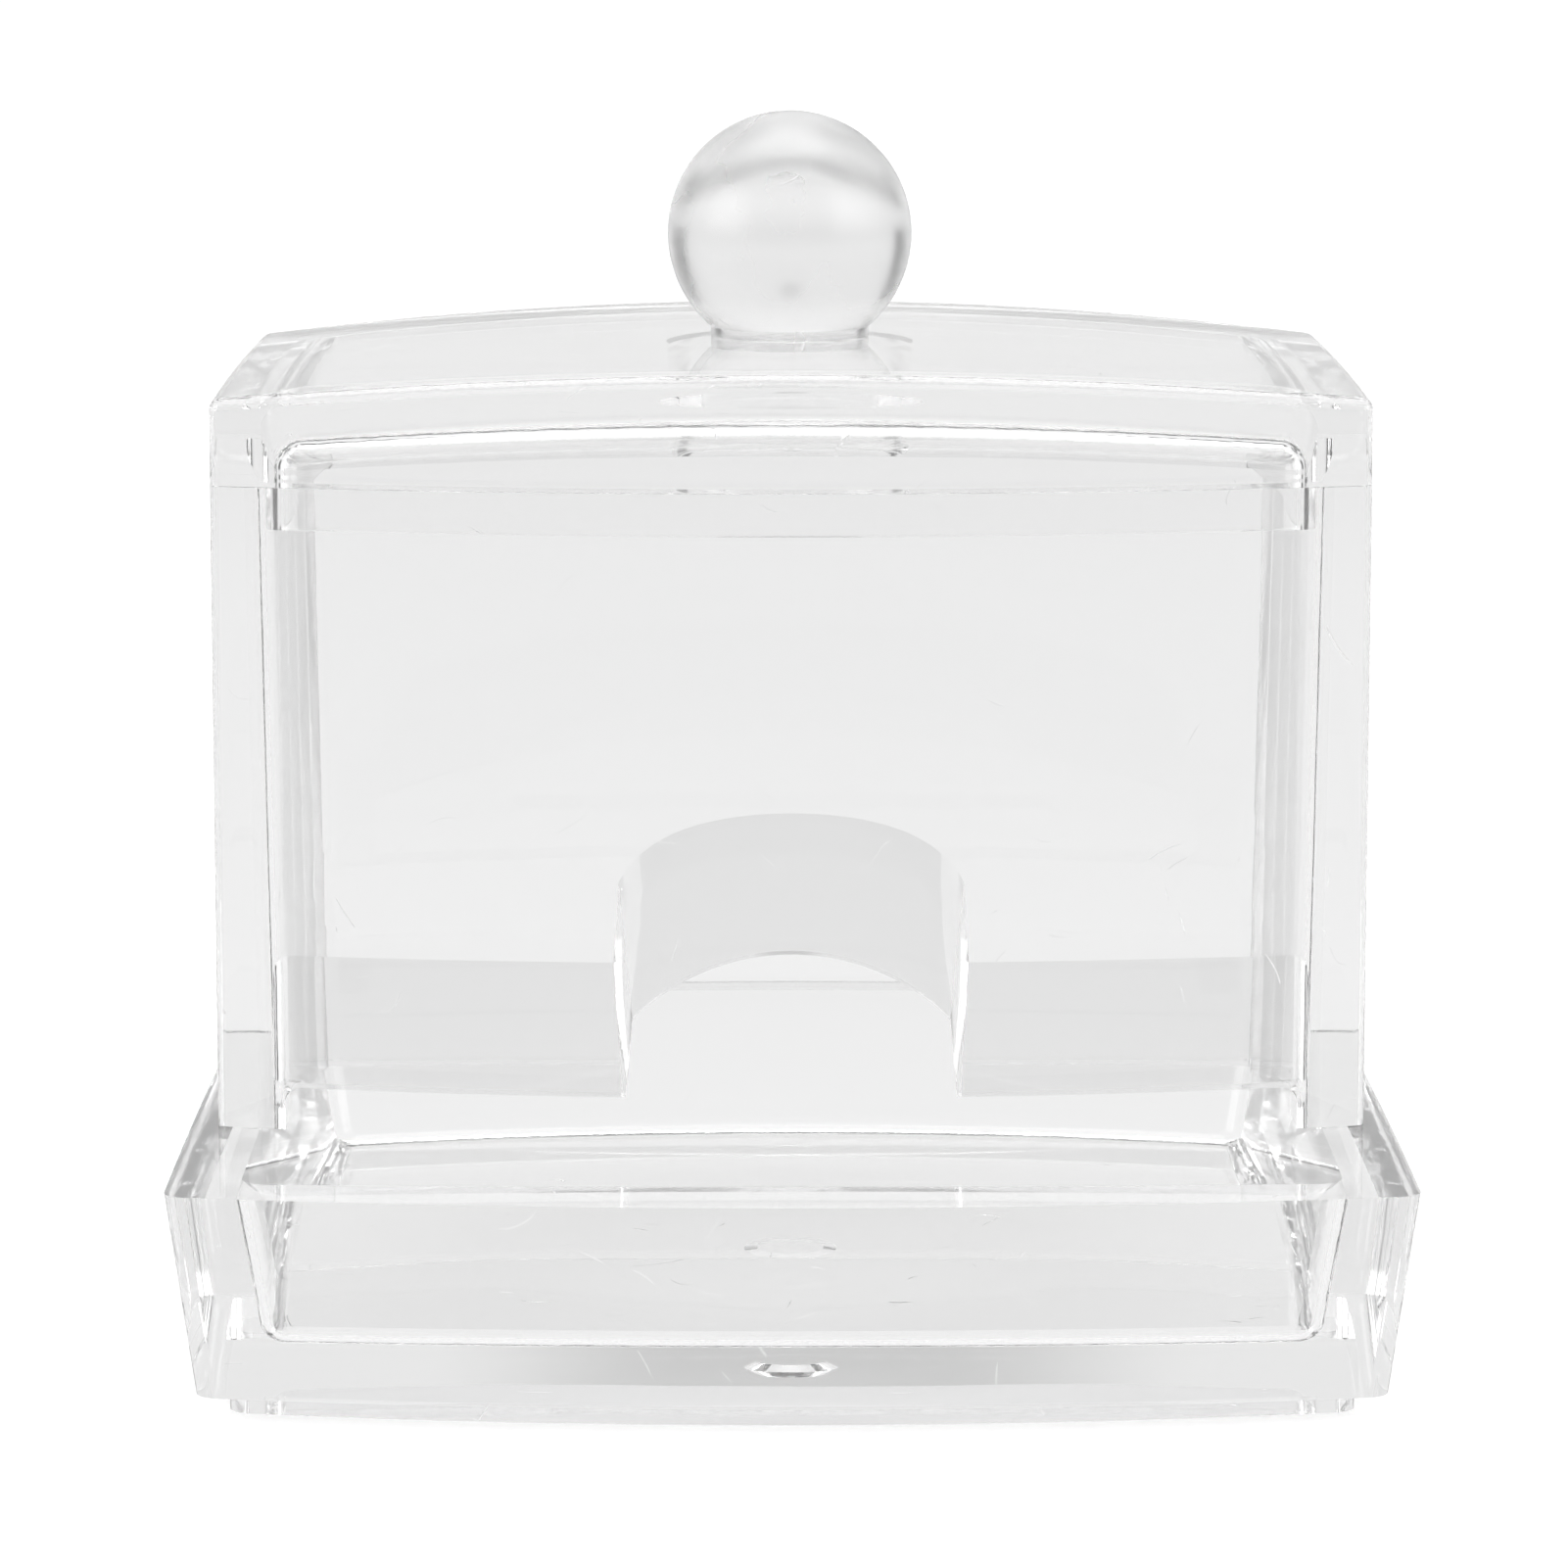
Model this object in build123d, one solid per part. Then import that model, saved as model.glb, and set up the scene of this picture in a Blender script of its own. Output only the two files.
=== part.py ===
from build123d import *
import os

# All sizes are in millimetres. +Z is up and the front of the dispenser faces -Y.
# The origin is the centre of the whole dispenser's footprint, on the table.

# Body
BODY_WIDTH = 92.0
BODY_CORNER_DEPTH = 57.6
BODY_HEIGHT = 51.6
BODY_FRONT_BOW = 5.6
BODY_SIDE_BOW = 0.3
BODY_CORNER_RADIUS = 1.0
BODY_WALL_TOP = 4.0
BODY_WALL_BOTTOM = 4.8
BODY_INNER_RADIUS = 1.6

# Front wall of the body: the slot under it, the arched finger gap and the bevel inside
SLOT_HEIGHT = 3.4
POST_WIDTH = 5.5
SLOT_CORNER_RADIUS = 1.3
ARCH_TOP = 15.0
ARCH_SPRING = 9.6
ARCH_SPRING_HALF = 12.6
ARCH_FOOT_HALF = 13.9
ARCH_TOP_RISE = 13.0
ARCH_SPRING_RISE = 9.5
BEVEL_RISE = 11.3
BEVEL_DEPTH = 2.4
BEVEL_FLARE = 0.9
GAP_OVERCUT = 0.6

# Base tray
TRAY_HEIGHT = 18.1
TRAY_FRONT_WIDTH = 96.4
TRAY_BACK_WIDTH = 94.4
TRAY_BOTTOM_INSET = 2.1
TRAY_FRONT_REACH = 26.0
TRAY_BACK_REACH = 1.0
TRAY_FRONT_BOW = 4.1
TRAY_CORNER_RADIUS = 2.0
TRAY_SIDE_WALL = 5.6
TRAY_FRONT_WALL = 4.4
TRAY_INNER_BOW = 1.0
TRAY_INNER_RADIUS = 2.2
TRAY_INNER_DRAFT = 2.0
FLOOR_THICKNESS = 5.8
FLOOR_FILLET = 1.8
PLINTH_HEIGHT = 1.8
PLINTH_INSET = 2.4
GATE_RADIUS = 3.6
GATE_INNER_RADIUS = 2.6
GATE_DEPTH = 0.5

# Lid
LID_CORNER_HEIGHT = 6.8
LID_CROWN = 2.5
LID_PLATE = 4.3
LID_EDGE_RADIUS = 1.0
LIP_DEPTH = 3.8
LIP_THICKNESS = 1.2
LIP_CLEARANCE = 0.25
LIP_INNER_RADIUS = 2.4
BOSS_RADIUS = 9.85
BOSS_DROP = 4.0
BOSS_DRAFT = 0.5

# Knob
BALL_RADIUS = 10.1
NECK_RADIUS = 6.55
NECK_HEIGHT = 0.75

# Where the pieces stand
SEAT_GAP = 0.05
TRAY_DEPTH = BODY_CORNER_DEPTH + TRAY_FRONT_REACH + TRAY_BACK_REACH + TRAY_FRONT_BOW + BODY_FRONT_BOW
TRAY_FRONT_Y = -TRAY_DEPTH / 2 + TRAY_FRONT_BOW
BODY_FRONT_Y = TRAY_FRONT_Y + TRAY_FRONT_REACH
BODY_BACK_Y = BODY_FRONT_Y + BODY_CORNER_DEPTH
TRAY_BACK_Y = BODY_BACK_Y + TRAY_BACK_REACH
BODY_MID_Y = (BODY_FRONT_Y + BODY_BACK_Y) / 2
BODY_BOTTOM_Z = TRAY_HEIGHT + SEAT_GAP
BODY_TOP_Z = BODY_BOTTOM_Z + BODY_HEIGHT
LID_BOTTOM_Z = BODY_TOP_Z + SEAT_GAP
LID_CROWN_Z = LID_BOTTOM_Z + LID_CORNER_HEIGHT + LID_CROWN
WALL_EDGE_Z = BODY_BOTTOM_Z + SLOT_HEIGHT
CUT_MARGIN = 5.0


def plan(front_half, back_half, front_y, back_y, front_bow, back_bow, radius, z):
    """A four-sided outline with bowed sides and rounded corners, at height z."""
    mid_half = (front_half + back_half) / 2 + BODY_SIDE_BOW
    mid_y = (front_y + back_y) / 2
    with BuildSketch(Plane.XY.offset(z)) as sketch:
        with BuildLine():
            ThreePointArc((-front_half, front_y), (0, front_y - front_bow), (front_half, front_y))
            ThreePointArc((front_half, front_y), (mid_half, mid_y), (back_half, back_y))
            ThreePointArc((back_half, back_y), (0, back_y + back_bow), (-back_half, back_y))
            ThreePointArc((-back_half, back_y), (-mid_half, mid_y), (-front_half, front_y))
        make_face()
        fillet(sketch.vertices(), radius)
    return sketch.sketch


def body_plan(inset, radius, z, front_extra=0.0):
    """The body's outline moved inwards by inset, at height z."""
    half = BODY_WIDTH / 2 - inset
    front_y = BODY_FRONT_Y + inset - front_extra
    back_y = BODY_BACK_Y - inset
    return plan(half, half, front_y, back_y, BODY_FRONT_BOW, BODY_FRONT_BOW, radius, z)


def gap_profile(y, spring_half, foot_half, spring, top):
    """The arched gap's outline on the plane at y. Spring and top are heights above the body's bottom."""
    foot_z = BODY_BOTTOM_Z - CUT_MARGIN
    spring_z = BODY_BOTTOM_Z + spring
    top_z = BODY_BOTTOM_Z + top
    with BuildSketch(Plane.XZ.offset(-y)) as sketch:
        with BuildLine():
            Line((-foot_half, foot_z), (-spring_half, spring_z))
            ThreePointArc((-spring_half, spring_z), (0, top_z), (spring_half, spring_z))
            Line((spring_half, spring_z), (foot_half, foot_z))
            Line((foot_half, foot_z), (-foot_half, foot_z))
        make_face()
    return sketch.sketch


def arch_cut():
    """The finger gap: straight through the wall, and sloping up on the wall's inside."""
    inner_y = BODY_FRONT_Y - BODY_FRONT_BOW + BODY_WALL_BOTTOM
    edge_y = inner_y - BEVEL_DEPTH
    outer_y = edge_y - BODY_WALL_BOTTOM
    share = (BEVEL_DEPTH + GAP_OVERCUT) / BEVEL_DEPTH
    narrow = gap_profile(edge_y, ARCH_SPRING_HALF, ARCH_FOOT_HALF, ARCH_SPRING, ARCH_TOP)
    flare = BEVEL_FLARE * share
    wide_y = inner_y + GAP_OVERCUT
    spring = ARCH_SPRING + ARCH_SPRING_RISE * share
    top = ARCH_TOP + ARCH_TOP_RISE * share
    wide = gap_profile(wide_y, ARCH_SPRING_HALF + flare, ARCH_FOOT_HALF + flare, spring, top)
    straight = extrude(narrow, amount=edge_y - outer_y)
    slope = loft([narrow, wide])
    return straight + slope


def slot_cut():
    """The slot under the front wall, between the two side walls."""
    half = BODY_WIDTH / 2 - POST_WIDTH
    depth = BODY_FRONT_BOW + BODY_WALL_BOTTOM + BODY_INNER_RADIUS + CUT_MARGIN
    height = SLOT_HEIGHT + CUT_MARGIN
    box = Box(half * 2, depth, height, align=(Align.CENTER, Align.MIN, Align.MAX))
    box = fillet(box.edges().filter_by(Axis.Y).group_by(Axis.Z)[-1], SLOT_CORNER_RADIUS)
    return Pos(0, BODY_FRONT_Y - BODY_FRONT_BOW - CUT_MARGIN, WALL_EDGE_Z) * box


def bevel_cut():
    """The slope inside the front wall's lower edge, following the wall's bow."""
    low = body_plan(BODY_WALL_BOTTOM, BODY_INNER_RADIUS, WALL_EDGE_Z, BEVEL_DEPTH)
    high = body_plan(BODY_WALL_BOTTOM, BODY_INNER_RADIUS, WALL_EDGE_Z + BEVEL_RISE)
    return loft([low, high])


def make_body():
    """The open chamber that stands on the tray's rim."""
    outer_low = body_plan(0.0, BODY_CORNER_RADIUS, BODY_BOTTOM_Z)
    shell = extrude(outer_low, amount=BODY_HEIGHT)
    inner_low = body_plan(BODY_WALL_BOTTOM, BODY_INNER_RADIUS, BODY_BOTTOM_Z)
    inner_high = body_plan(BODY_WALL_TOP, BODY_INNER_RADIUS, BODY_TOP_Z)
    shell -= loft([inner_low, inner_high])
    shell -= bevel_cut()
    shell -= slot_cut()
    return shell - arch_cut()


def tray_outline(inset, z, radius):
    """The tray's outer outline moved inwards by inset, at height z."""
    front_half = TRAY_FRONT_WIDTH / 2 - inset
    back_half = TRAY_BACK_WIDTH / 2 - inset
    front_y = TRAY_FRONT_Y + inset
    back_y = TRAY_BACK_Y - inset
    return plan(front_half, back_half, front_y, back_y, TRAY_FRONT_BOW, BODY_FRONT_BOW, radius, z)


def tray_hollow(draft, z):
    """The tray's inner outline, narrower by the draft, at height z."""
    front_half = TRAY_FRONT_WIDTH / 2 - TRAY_SIDE_WALL - draft
    back_half = TRAY_BACK_WIDTH / 2 - TRAY_SIDE_WALL - draft
    front_y = TRAY_FRONT_Y + TRAY_FRONT_WALL + draft
    back_y = TRAY_BACK_Y - TRAY_SIDE_WALL - draft
    radius = TRAY_INNER_RADIUS
    return plan(front_half, back_half, front_y, back_y, TRAY_INNER_BOW, BODY_FRONT_BOW, radius, z)


def make_tray():
    """The base tray: drafted walls, a thick floor, a set-back plinth and a gate mark under it."""
    low = tray_outline(TRAY_BOTTOM_INSET, PLINTH_HEIGHT, TRAY_CORNER_RADIUS)
    high = tray_outline(0.0, TRAY_HEIGHT, TRAY_CORNER_RADIUS)
    tray = loft([low, high])
    foot_inset = TRAY_BOTTOM_INSET + PLINTH_INSET
    tray += extrude(tray_outline(foot_inset, 0.0, TRAY_CORNER_RADIUS), amount=PLINTH_HEIGHT)
    floor = tray_hollow(TRAY_INNER_DRAFT, FLOOR_THICKNESS)
    rim = tray_hollow(0.0, TRAY_HEIGHT)
    hollow = loft([floor, rim])
    tray -= fillet(hollow.faces().sort_by(Axis.Z)[0].edges(), FLOOR_FILLET)
    gate_y = (TRAY_FRONT_Y + TRAY_BACK_Y) / 2
    gate = Cone(GATE_RADIUS, GATE_INNER_RADIUS, GATE_DEPTH, align=(Align.CENTER, Align.CENTER, Align.MIN))
    return tray - Pos(0, gate_y, 0) * gate


def crowned_block(bottom_z, crown_z):
    """Everything under the lid's arched surface whose highest line is at crown_z."""
    half = BODY_WIDTH / 2 + BODY_SIDE_BOW
    side_z = crown_z - LID_CROWN
    with BuildSketch(Plane.XZ) as sketch:
        with BuildLine():
            ThreePointArc((-half, side_z), (0, crown_z), (half, side_z))
            Line((half, side_z), (half, bottom_z))
            Line((half, bottom_z), (-half, bottom_z))
            Line((-half, bottom_z), (-half, side_z))
        make_face()
    return Pos(0, BODY_MID_Y, 0) * extrude(sketch.sketch, amount=BODY_CORNER_DEPTH, both=True)


def make_lid():
    """The lift-off lid: crowned top, hollow underside, locating lip and a round boss."""
    top_room = LID_CORNER_HEIGHT + LID_CROWN
    lid = extrude(body_plan(0.0, BODY_CORNER_RADIUS, LID_BOTTOM_Z), amount=top_room)
    lid = lid & crowned_block(LID_BOTTOM_Z, LID_CROWN_Z)
    lid = fillet(lid.faces().sort_by(Axis.Z)[-1].edges(), LID_EDGE_RADIUS)
    lip_z = LID_BOTTOM_Z - LIP_DEPTH
    lip_inset = BODY_WALL_TOP + LIP_CLEARANCE
    lid += extrude(body_plan(lip_inset, BODY_INNER_RADIUS, lip_z), amount=LIP_DEPTH)
    hollow_inset = lip_inset + LIP_THICKNESS
    hollow = extrude(body_plan(hollow_inset, LIP_INNER_RADIUS, lip_z), amount=LIP_DEPTH + top_room)
    hollow = hollow & crowned_block(lip_z, LID_CROWN_Z - LID_PLATE)
    hollow = fillet(hollow.faces().sort_by(Axis.Z)[-1].edges(), LIP_INNER_RADIUS)
    lid -= hollow
    boss_z = LID_CROWN_Z - LID_PLATE - BOSS_DROP
    boss_height = BOSS_DROP + LID_PLATE / 2
    root_radius = BOSS_RADIUS + BOSS_DRAFT
    boss = Cone(BOSS_RADIUS, root_radius, boss_height, align=(Align.CENTER, Align.CENTER, Align.MIN))
    return lid + Pos(0, BODY_MID_Y, boss_z) * boss


def make_knob():
    """The ball on its short neck, bonded on the lid's crown."""
    neck = Cylinder(NECK_RADIUS, NECK_HEIGHT, align=(Align.CENTER, Align.CENTER, Align.MIN))
    seat = (BALL_RADIUS**2 - NECK_RADIUS**2) ** 0.5
    ball = Pos(0, 0, NECK_HEIGHT + seat) * Sphere(BALL_RADIUS)
    room = BALL_RADIUS * 3
    above = Box(room, room, room, align=(Align.CENTER, Align.CENTER, Align.MIN))
    keep = Pos(0, 0, NECK_HEIGHT / 2) * above
    return Pos(0, BODY_MID_Y, LID_CROWN_Z + SEAT_GAP) * (neck + (ball & keep))


os.makedirs("parts", exist_ok=True)
export_step(make_tray(), "parts/base_tray.step")
export_step(make_body(), "parts/body.step")
export_step(make_lid(), "parts/lid.step")
export_step(make_knob(), "parts/knob.step")
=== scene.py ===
import bpy
import math
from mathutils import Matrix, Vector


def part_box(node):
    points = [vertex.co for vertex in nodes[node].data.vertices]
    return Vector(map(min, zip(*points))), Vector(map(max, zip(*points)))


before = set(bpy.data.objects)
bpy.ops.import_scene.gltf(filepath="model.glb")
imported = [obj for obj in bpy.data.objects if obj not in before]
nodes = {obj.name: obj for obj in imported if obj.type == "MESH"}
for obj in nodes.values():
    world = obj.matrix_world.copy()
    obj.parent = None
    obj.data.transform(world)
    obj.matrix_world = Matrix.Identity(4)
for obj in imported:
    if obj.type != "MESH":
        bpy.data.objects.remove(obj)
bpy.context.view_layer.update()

# Lengths are in metres, and the scales of patterns are counts to the metre.

# Clear plastic: its refraction, its tint, and the share of fine haze on its surface
IOR = 1.49
TINT = 0.999
VEIL = 0.025

# Each node's material, the depth of its moulding waves, and its greatest roughness
FINISHES = {
    "base_tray": ("tray_plastic", 0.00002, 0.02),
    "body": ("body_plastic", 0.00001, 0.02),
    "lid": ("lid_plastic", 0.00001, 0.02),
    "knob": ("knob_plastic", 0.00001, 0.38),
}
WAVE_SCALE = 35.0
PATCH_SCALE = 60.0
PATCH_LOW = 0.35
PATCH_HIGH = 0.75

# Hairline scratches: two fields, each with a scale and a place in the noise
SCRATCH_FIELDS = ((55.0, (0, 0, 0)), (90.0, (3, 1, 2)))
SCRATCH_WIDTH = 0.0025
SCRATCH_DEPTH = 0.00002
SCRATCH_LOW = 0.66
SCRATCH_HIGH = 0.7

# Dust specks, in the cells whose random value is above the limit
SPECK_SCALE = 130.0
SPECK_LIMIT = 0.95
SPECK_SIZE = 0.02
SPECK_GREY = 0.12

# The slight hollow round the gate under the tray
SINK_DEPTH = 0.00008
SINK_RADIUS = 0.026

# Floor: how much of its white to the camera glows by itself, and how much of the light it adds
FLOOR_SIZE = 6.0
FLOOR_DROP = 0.0003
FLOOR_GLOW = 0.7
FLOOR_GREY = 0.4

# Softboxes: name, width, height, place, the point that they face, power in watts
SOFTBOXES = (
    ("overhead", 0.9, 0.9, (0.0, 0.1, 1.0), (0, 0.1, 0.05), 4.0),
    ("left_box", 0.7, 0.6, (-0.84, -0.39, 0.42), (0, 0, 0.05), 2.6),
    ("right_box", 0.7, 0.6, (0.84, -0.39, 0.42), (0, 0, 0.05), 2.6),
)

# The pale surroundings that the plastic shows, from straight down to straight up:
# elevation in degrees and brightness, where 1 is white
LEVELS = (
    (-90, 0.94), (-14, 0.93), (-8, 0.88), (-5, 0.81), (-2, 0.81), (1, 0.87),
    (8, 0.86), (11, 0.86), (18, 0.86), (30, 0.94), (50, 1.15), (90, 1.2),
)

# Darker and brighter areas of the surroundings, the same on the left and on the right: middle and
# half-width in azimuth from straight behind, middle and half-height in elevation, edge, brightness
PANELS = (
    ("dark_flag", 56, 6, 12, 14, 4, 0.08),
    ("dim_front", 180, 38, 30, 26, 8, 0.3),
    ("bright_side", 96, 20, 10, 12, 6, 1.15),
    ("dark_ceiling", 38, 16, 55, 8, 4, 0.08),
    ("dim_behind", 0, 1.5, 14.5, 0.5, 3.5, 0.62),
)

# The photograph's camera: lens and sensor in millimetres, place, and tilt and turn in radians
LENS = 154.97
SENSOR = 36.0
CAMERA_PLACE = (-0.00243, -0.54786, 0.13027)
CAMERA_TILT = -0.1576
CAMERA_TURN = -0.0035

# How many surfaces the light may pass
BOUNCES = 48
GLOSSY_BOUNCES = 16


def new_material(name):
    """An empty node material."""
    mat = bpy.data.materials.new(name)
    mat.use_nodes = True
    mat.node_tree.nodes.clear()
    return mat, mat.node_tree


def feed(tree, socket, value):
    """Sets a socket to a number, or links it to another node's output."""
    if isinstance(value, (int, float)):
        socket.default_value = value
    else:
        tree.links.new(value, socket)


def maths(tree, operation, *values):
    """The result of one operation on numbers or outputs."""
    node = tree.nodes.new("ShaderNodeMath")
    node.operation = operation
    for socket, value in zip(node.inputs, values):
        feed(tree, socket, value)
    return node.outputs[0]


def smooth(tree, value, low, high, start=0.0, end=1.0):
    """Runs from start, at low, to end, at high, in an S-shaped curve."""
    node = tree.nodes.new("ShaderNodeMapRange")
    node.interpolation_type = "SMOOTHSTEP"
    feed(tree, node.inputs["Value"], value)
    feed(tree, node.inputs["From Min"], low)
    feed(tree, node.inputs["From Max"], high)
    feed(tree, node.inputs["To Min"], start)
    feed(tree, node.inputs["To Max"], end)
    return node.outputs["Result"]


def window(tree, value, middle, half, edge):
    """1 within half of the middle, falling to 0 over the edge."""
    away = maths(tree, "ABSOLUTE", maths(tree, "SUBTRACT", value, middle))
    return smooth(tree, away, half, half + edge, 1.0, 0.0)


def mixed(tree, share, first, second):
    """The first shader with a share of the second."""
    mix = tree.nodes.new("ShaderNodeMixShader")
    feed(tree, mix.inputs["Fac"], share)
    tree.links.new(first, mix.inputs[1])
    tree.links.new(second, mix.inputs[2])
    return mix.outputs["Shader"]


def coloured(tree, kind, grey):
    """A plain shader of one grey."""
    shader = tree.nodes.new(kind)
    shader.inputs["Color"].default_value = (grey, grey, grey, 1.0)
    return shader.outputs[0]


def noise(tree, coords, scale, detail, place=(0.0, 0.0, 0.0)):
    """A noise from 0 to 1, read from the given place on."""
    shift = tree.nodes.new("ShaderNodeMapping")
    shift.inputs["Location"].default_value = place
    texture = tree.nodes.new("ShaderNodeTexNoise")
    texture.inputs["Scale"].default_value = scale
    texture.inputs["Detail"].default_value = detail
    tree.links.new(coords, shift.inputs["Vector"])
    tree.links.new(shift.outputs["Vector"], texture.inputs["Vector"])
    return texture.outputs["Fac"]


def scratches(tree, coords, scale, place):
    """Short hairlines: thin contours of a noise, shown where another noise is high."""
    contour = maths(tree, "ABSOLUTE", maths(tree, "SUBTRACT", noise(tree, coords, scale, 1.0, place), 0.5))
    line = smooth(tree, contour, 0.0, SCRATCH_WIDTH, 1.0, 0.0)
    where = smooth(tree, noise(tree, coords, scale * 2.5, 1.0, place), SCRATCH_LOW, SCRATCH_HIGH)
    return maths(tree, "MULTIPLY", line, where)


def specks(tree, coords):
    """Tiny dust specks in some of the cells of a pattern."""
    cell = tree.nodes.new("ShaderNodeTexVoronoi")
    cell.inputs["Scale"].default_value = SPECK_SCALE
    tree.links.new(coords, cell.inputs["Vector"])
    parts = tree.nodes.new("ShaderNodeSeparateColor")
    tree.links.new(cell.outputs["Color"], parts.inputs["Color"])
    some = maths(tree, "GREATER_THAN", parts.outputs["Red"], SPECK_LIMIT)
    dot = smooth(tree, cell.outputs["Distance"], SPECK_SIZE * 0.5, SPECK_SIZE, 0.8, 0.0)
    return maths(tree, "MULTIPLY", some, dot)


def sink(tree, coords, middle):
    """The slight hollow that a thick floor gets round its gate as it cools."""
    away = tree.nodes.new("ShaderNodeVectorMath")
    away.operation = "DISTANCE"
    away.inputs[1].default_value = middle
    tree.links.new(coords, away.inputs[0])
    return smooth(tree, away.outputs["Value"], 0.0, SINK_RADIUS, -SINK_DEPTH, 0.0)


def surface_height(tree, coords, wave, gate):
    """Moulding waves, the hollow round the gate where there is one, and scratches cut into them."""
    height = maths(tree, "MULTIPLY", noise(tree, coords, WAVE_SCALE, 2.0), wave)
    if gate:
        height = maths(tree, "ADD", height, sink(tree, coords, gate))
    lines = maths(tree, "MAXIMUM", *(scratches(tree, coords, *field) for field in SCRATCH_FIELDS))
    return maths(tree, "SUBTRACT", height, maths(tree, "MULTIPLY", lines, SCRATCH_DEPTH))


def clear_plastic(name, wave, haze, gate=None):
    """Polished clear plastic with faint moulding waves, haze, hairline scratches and dust specks."""
    mat, tree = new_material(name)
    out = tree.nodes.new("ShaderNodeOutputMaterial")
    clear = tree.nodes.new("ShaderNodeBsdfPrincipled")
    clear.inputs["Transmission Weight"].default_value = 1.0
    clear.inputs["IOR"].default_value = IOR
    clear.inputs["Base Color"].default_value = (TINT, TINT, TINT, 1.0)
    coords = tree.nodes.new("ShaderNodeTexCoord").outputs["Object"]
    bump = tree.nodes.new("ShaderNodeBump")
    bump.inputs["Distance"].default_value = 1.0
    tree.links.new(surface_height(tree, coords, wave, gate), bump.inputs["Height"])
    tree.links.new(bump.outputs["Normal"], clear.inputs["Normal"])
    patches = noise(tree, coords, PATCH_SCALE, 4.0, (1, 2, 3))
    roughness = smooth(tree, patches, PATCH_LOW, PATCH_HIGH, haze * 0.5, haze)
    tree.links.new(roughness, clear.inputs["Roughness"])
    hazy = mixed(tree, VEIL, clear.outputs["BSDF"], coloured(tree, "ShaderNodeBsdfTranslucent", 1.0))
    dusty = mixed(tree, specks(tree, coords), hazy, coloured(tree, "ShaderNodeBsdfDiffuse", SPECK_GREY))
    tree.links.new(dusty, out.inputs["Surface"])
    return mat


def paper_floor():
    """Near white with a faint shadow to the camera, and the pale surroundings through the plastic."""
    mat, tree = new_material("paper")
    out = tree.nodes.new("ShaderNodeOutputMaterial")
    path = tree.nodes.new("ShaderNodeLightPath")
    glow = tree.nodes.new("ShaderNodeEmission")
    glow.inputs["Strength"].default_value = FLOOR_GLOW
    white = tree.nodes.new("ShaderNodeAddShader")
    tree.links.new(glow.outputs["Emission"], white.inputs[0])
    tree.links.new(coloured(tree, "ShaderNodeBsdfDiffuse", FLOOR_GREY), white.inputs[1])
    paper = tree.nodes.new("ShaderNodeBsdfDiffuse").outputs["BSDF"]
    seen = mixed(tree, path.outputs["Is Camera Ray"], paper, white.outputs["Shader"])
    clear_ray = maths(tree, "MAXIMUM", path.outputs["Is Transmission Ray"], path.outputs["Is Glossy Ray"])
    through = tree.nodes.new("ShaderNodeBsdfTransparent").outputs["BSDF"]
    tree.links.new(mixed(tree, clear_ray, seen, through), out.inputs["Surface"])
    return mat


def floor():
    """A plain floor, a hair under the plinth."""
    mesh = bpy.data.meshes.new("floor")
    x = FLOOR_SIZE / 2
    mesh.from_pydata([(-x, -x, 0), (x, -x, 0), (x, x, 0), (-x, x, 0)], [], [(0, 1, 2, 3)])
    mesh.materials.append(paper_floor())
    obj = bpy.data.objects.new("floor", mesh)
    obj.location.z = -FLOOR_DROP
    bpy.context.scene.collection.objects.link(obj)


def softbox(name, width, height, place, aim, power):
    """A rectangular lamp that faces a point."""
    lamp = bpy.data.lights.new(name, "AREA")
    lamp.shape = "RECTANGLE"
    lamp.size = width
    lamp.size_y = height
    lamp.energy = power
    obj = bpy.data.objects.new(name, lamp)
    obj.location = place
    direction = [a - b for a, b in zip(aim, place)]
    flat = math.hypot(direction[0], direction[1])
    obj.rotation_euler = (math.atan2(flat, -direction[2]), 0, math.atan2(-direction[0], direction[1]))
    bpy.context.scene.collection.objects.link(obj)


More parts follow.
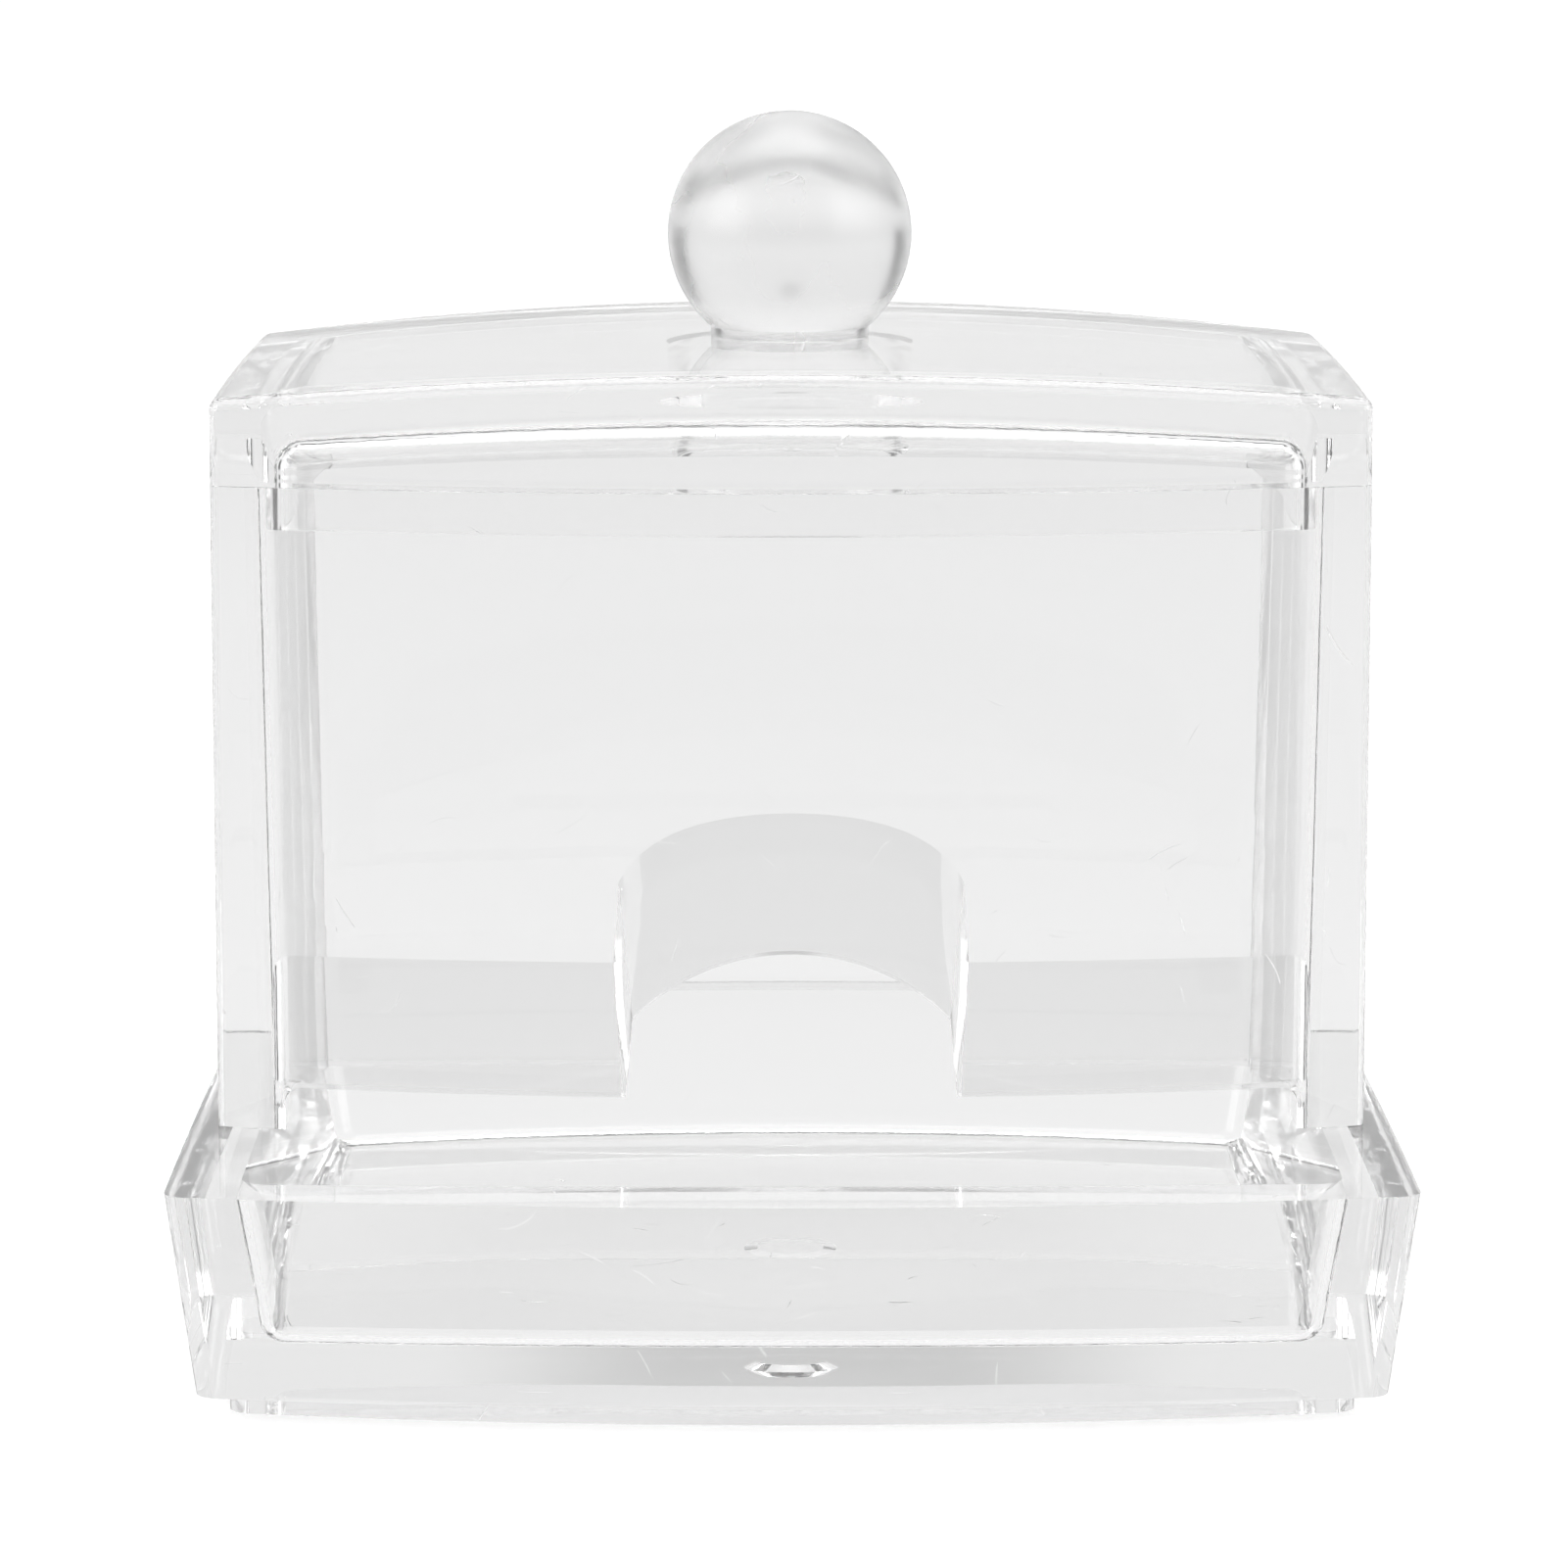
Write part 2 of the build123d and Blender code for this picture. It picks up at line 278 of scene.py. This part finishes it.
def surroundings(tree):
    """How bright the surroundings are in each direction."""
    direction = tree.nodes.new("ShaderNodeTexCoord").outputs["Generated"]
    parts = tree.nodes.new("ShaderNodeSeparateXYZ")
    tree.links.new(direction, parts.inputs["Vector"])
    x, y, z = (parts.outputs[axis] for axis in "XYZ")
    elevation = maths(tree, "DEGREES", maths(tree, "ARCSINE", z))
    azimuth = maths(tree, "ABSOLUTE", maths(tree, "DEGREES", maths(tree, "ARCTAN2", x, y)))
    level = LEVELS[0][1]
    for (low, before), (high, after) in zip(LEVELS, LEVELS[1:]):
        if after != before:
            level = maths(tree, "ADD", level, smooth(tree, elevation, low, high, 0.0, after - before))
    for name, across, half_across, up, half_up, edge, panel in PANELS:
        inside = maths(
            tree, "MULTIPLY",
            window(tree, azimuth, across, half_across, edge),
            window(tree, elevation, up, half_up, edge),
        )
        mix = tree.nodes.new("ShaderNodeMix")
        mix.label = name
        feed(tree, mix.inputs["Factor"], inside)
        feed(tree, mix.inputs["A"], level)
        feed(tree, mix.inputs["B"], panel)
        level = mix.outputs["Result"]
    return level


def world_light():
    """White to the camera, and pale studio surroundings in the plastic."""
    world = bpy.data.worlds.new("surroundings")
    bpy.context.scene.world = world
    world.use_nodes = True
    tree = world.node_tree
    tree.nodes.clear()
    out = tree.nodes.new("ShaderNodeOutputWorld")
    path = tree.nodes.new("ShaderNodeLightPath")
    around = tree.nodes.new("ShaderNodeBackground")
    around.inputs["Color"].default_value = (1.0, 1.0, 1.0, 1.0)
    feed(tree, around.inputs["Strength"], surroundings(tree))
    white = coloured(tree, "ShaderNodeBackground", 1.0)
    seen = mixed(tree, path.outputs["Is Camera Ray"], around.outputs["Background"], white)
    tree.links.new(seen, out.inputs["Surface"])


def camera():
    """The photograph's camera: a long lens, a little above the lid."""
    data = bpy.data.cameras.new("camera")
    data.sensor_width = SENSOR
    data.lens = LENS
    data.clip_start = 0.01
    obj = bpy.data.objects.new("camera", data)
    obj.location = CAMERA_PLACE
    obj.rotation_euler = (math.pi / 2 + CAMERA_TILT, 0.0, CAMERA_TURN)
    bpy.context.scene.collection.objects.link(obj)
    bpy.context.scene.camera = obj


tray_low, tray_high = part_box("base_tray")
gate_place = tuple((a + b) / 2 for a, b in zip(tray_low, tray_high))[:2] + (0.0,)
for name, node in nodes.items():
    gate = gate_place if name == "base_tray" else None
    node.data.materials.clear()
    node.data.materials.append(clear_plastic(*FINISHES[name], gate))

floor()
for box in SOFTBOXES:
    softbox(*box)
world_light()
camera()
bpy.context.scene.view_settings.view_transform = "Standard"
bpy.context.scene.cycles.max_bounces = BOUNCES
bpy.context.scene.cycles.transmission_bounces = BOUNCES
bpy.context.scene.cycles.glossy_bounces = GLOSSY_BOUNCES
